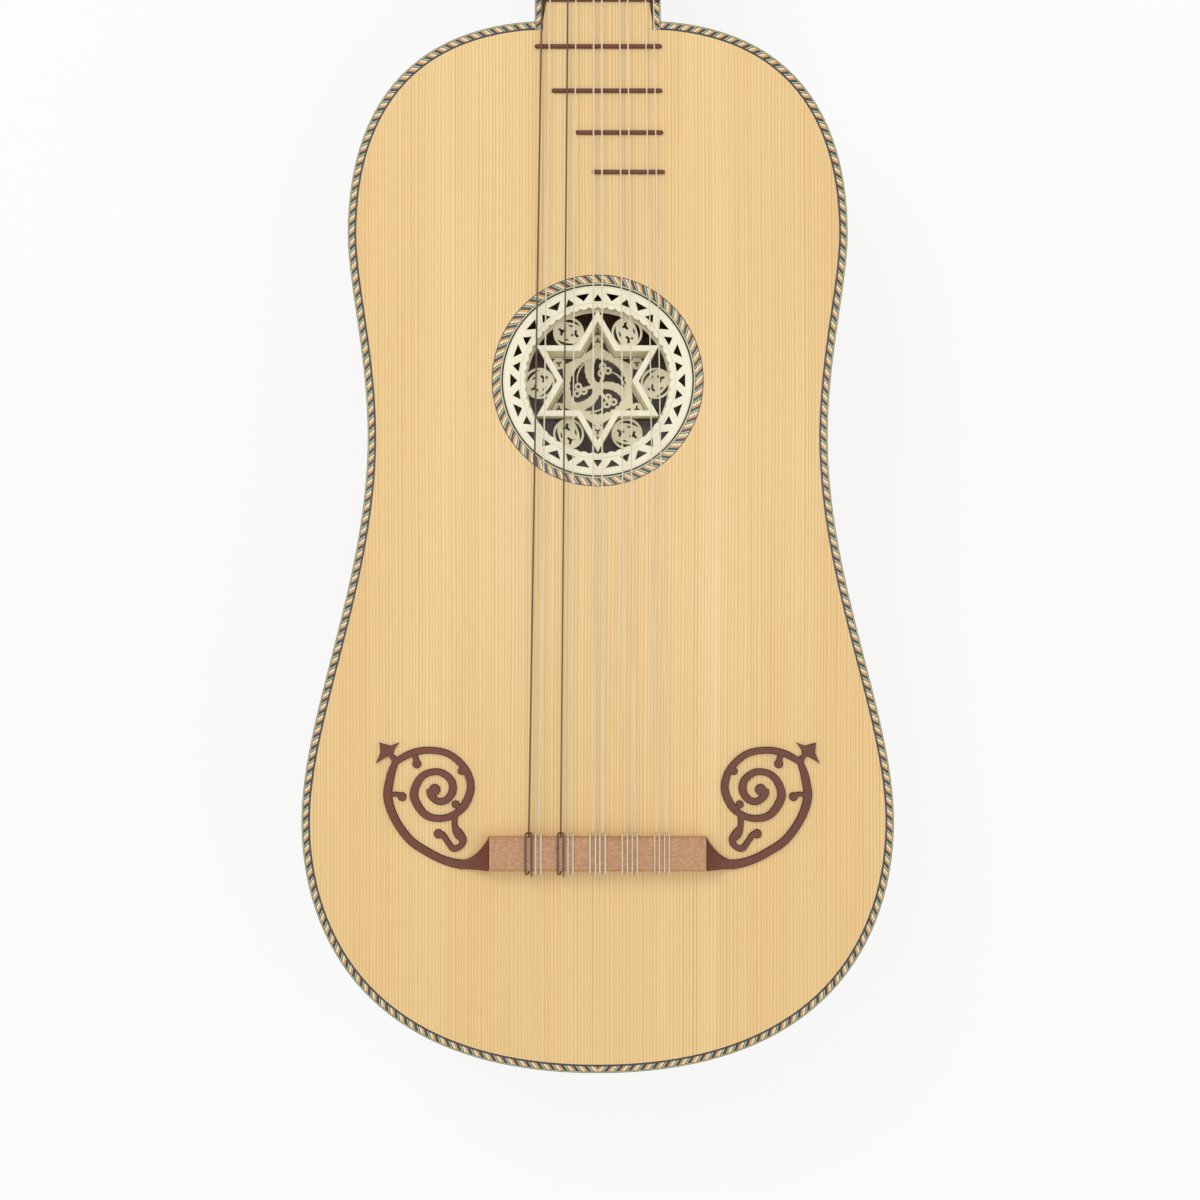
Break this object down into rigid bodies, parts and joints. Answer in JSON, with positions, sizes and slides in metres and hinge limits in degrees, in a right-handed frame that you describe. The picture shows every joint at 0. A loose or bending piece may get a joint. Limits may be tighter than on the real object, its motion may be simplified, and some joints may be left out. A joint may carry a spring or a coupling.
{
  "type": "baroque guitar",
  "caption": "Baroque guitar with a waisted body, tiered pierced rose, rope inlay, scrolled bridge ends, courses of gut strings and turning pegs.",
  "frame": {"origin": "middle of the body's length on the flat back's outer face", "axes": "+Y towards the head, +X towards the treble side, +Z out of the soundboard"},
  "size_m": [0.2604, 0.953, 0.0994],
  "materials": {
    "spruce": "satin, fine straight grain",
    "rope_inlay": "flush marquetry of dark, yellow, cream and orange strips",
    "rib_wood": "varnished, flamed",
    "neck_wood": "oiled",
    "scroll_wood": "matt reddish brown",
    "peg_wood": "polished",
    "bridge_wood": "fine flecked figure",
    "parchment": "matt cream",
    "bone": "polished",
    "gut": "translucent pale",
    "wound_string": "dark, wound"
  },
  "bodies": {
    "root": {"soundboard": "spruce", "neck_block": "spruce", "tail_block": "spruce", "top_bar_lower": "spruce", "top_bar_upper": "spruce", "back_bar_lower": "spruce", "back_bar_upper": "spruce", "edge_rope": "rope_inlay", "rose_rope": "rope_inlay", "neck_rope_bass": "rope_inlay", "neck_rope_treble": "rope_inlay", "rib_bass": "rib_wood", "rib_treble": "rib_wood", "back": "rib_wood", "neck": "neck_wood", "head": "neck_wood", "fingerboard": "scroll_wood", "moustache_bass": "scroll_wood", "moustache_treble": "scroll_wood", "fret_10": "scroll_wood", "fret_11": "scroll_wood", "fret_12": "scroll_wood", "fret_13": "scroll_wood", "fret_14": "scroll_wood", "bridge": "bridge_wood", "rose_rim": "parchment", "rose_star": "parchment", "rose_gallery": "parchment", "rose_floor": "parchment", "rose_medallion": "parchment", "nut": "bone", "string_01": "wound_string", "string_02": "gut", "string_03": "wound_string", "string_04": "gut", "string_05": "gut", "string_06": "gut", "string_07": "gut", "string_08": "gut", "string_09": "gut", "string_10": "gut"},
    "peg_01": {"peg_01": "peg_wood"},
    "peg_02": {"peg_02": "peg_wood"},
    "peg_03": {"peg_03": "peg_wood"},
    "peg_04": {"peg_04": "peg_wood"},
    "peg_05": {"peg_05": "peg_wood"},
    "peg_06": {"peg_06": "peg_wood"},
    "peg_07": {"peg_07": "peg_wood"},
    "peg_08": {"peg_08": "peg_wood"},
    "peg_09": {"peg_09": "peg_wood"},
    "peg_10": {"peg_10": "peg_wood"},
    "tied_fret_1": {"tied_fret_1": "gut"},
    "tied_fret_2": {"tied_fret_2": "gut"},
    "tied_fret_3": {"tied_fret_3": "gut"},
    "tied_fret_4": {"tied_fret_4": "gut"},
    "tied_fret_5": {"tied_fret_5": "gut"},
    "tied_fret_6": {"tied_fret_6": "gut"},
    "tied_fret_7": {"tied_fret_7": "gut"},
    "tied_fret_8": {"tied_fret_8": "gut"},
    "tied_fret_9": {"tied_fret_9": "gut"}
  },
  "joints": [
    {"name": "peg_01_turn", "type": "hinge", "parent": "root", "child": "peg_01", "pos_m": [-0.0245, 0.56935, 0.08229], "axis": [0, 0.1392, 0.9903], "continuous": true},
    {"name": "peg_02_turn", "type": "hinge", "parent": "root", "child": "peg_02", "pos_m": [-0.0249, 0.59609, 0.07853], "axis": [0, 0.1392, 0.9903], "continuous": true},
    {"name": "peg_03_turn", "type": "hinge", "parent": "root", "child": "peg_03", "pos_m": [-0.0253, 0.62282, 0.07477], "axis": [0, 0.1392, 0.9903], "continuous": true},
    {"name": "peg_04_turn", "type": "hinge", "parent": "root", "child": "peg_04", "pos_m": [-0.0257, 0.64956, 0.07102], "axis": [0, 0.1392, 0.9903], "continuous": true},
    {"name": "peg_05_turn", "type": "hinge", "parent": "root", "child": "peg_05", "pos_m": [-0.0261, 0.6763, 0.06726], "axis": [0, 0.1392, 0.9903], "continuous": true},
    {"name": "peg_06_turn", "type": "hinge", "parent": "root", "child": "peg_06", "pos_m": [0.0261, 0.6763, 0.06726], "axis": [0, 0.1392, 0.9903], "continuous": true},
    {"name": "peg_07_turn", "type": "hinge", "parent": "root", "child": "peg_07", "pos_m": [0.0257, 0.64956, 0.07102], "axis": [0, 0.1392, 0.9903], "continuous": true},
    {"name": "peg_08_turn", "type": "hinge", "parent": "root", "child": "peg_08", "pos_m": [0.0253, 0.62282, 0.07477], "axis": [0, 0.1392, 0.9903], "continuous": true},
    {"name": "peg_09_turn", "type": "hinge", "parent": "root", "child": "peg_09", "pos_m": [0.0249, 0.59609, 0.07853], "axis": [0, 0.1392, 0.9903], "continuous": true},
    {"name": "peg_10_turn", "type": "hinge", "parent": "root", "child": "peg_10", "pos_m": [0.0245, 0.56935, 0.08229], "axis": [0, 0.1392, 0.9903], "continuous": true},
    {"name": "tied_fret_1_shift", "type": "slide", "parent": "root", "child": "tied_fret_1", "axis": [0, 1, 0], "range_m": [-0.003, 0.003]},
    {"name": "tied_fret_2_shift", "type": "slide", "parent": "root", "child": "tied_fret_2", "axis": [0, 1, 0], "range_m": [-0.003, 0.003]},
    {"name": "tied_fret_3_shift", "type": "slide", "parent": "root", "child": "tied_fret_3", "axis": [0, 1, 0], "range_m": [-0.003, 0.003]},
    {"name": "tied_fret_4_shift", "type": "slide", "parent": "root", "child": "tied_fret_4", "axis": [0, 1, 0], "range_m": [-0.003, 0.003]},
    {"name": "tied_fret_5_shift", "type": "slide", "parent": "root", "child": "tied_fret_5", "axis": [0, 1, 0], "range_m": [-0.003, 0.003]},
    {"name": "tied_fret_6_shift", "type": "slide", "parent": "root", "child": "tied_fret_6", "axis": [0, 1, 0], "range_m": [-0.003, 0.003]},
    {"name": "tied_fret_7_shift", "type": "slide", "parent": "root", "child": "tied_fret_7", "axis": [0, 1, 0], "range_m": [-0.003, 0.003]},
    {"name": "tied_fret_8_shift", "type": "slide", "parent": "root", "child": "tied_fret_8", "axis": [0, 1, 0], "range_m": [-0.001, 0.003]},
    {"name": "tied_fret_9_shift", "type": "slide", "parent": "root", "child": "tied_fret_9", "axis": [0, 1, 0], "range_m": [0, 0.003]}
  ]
}
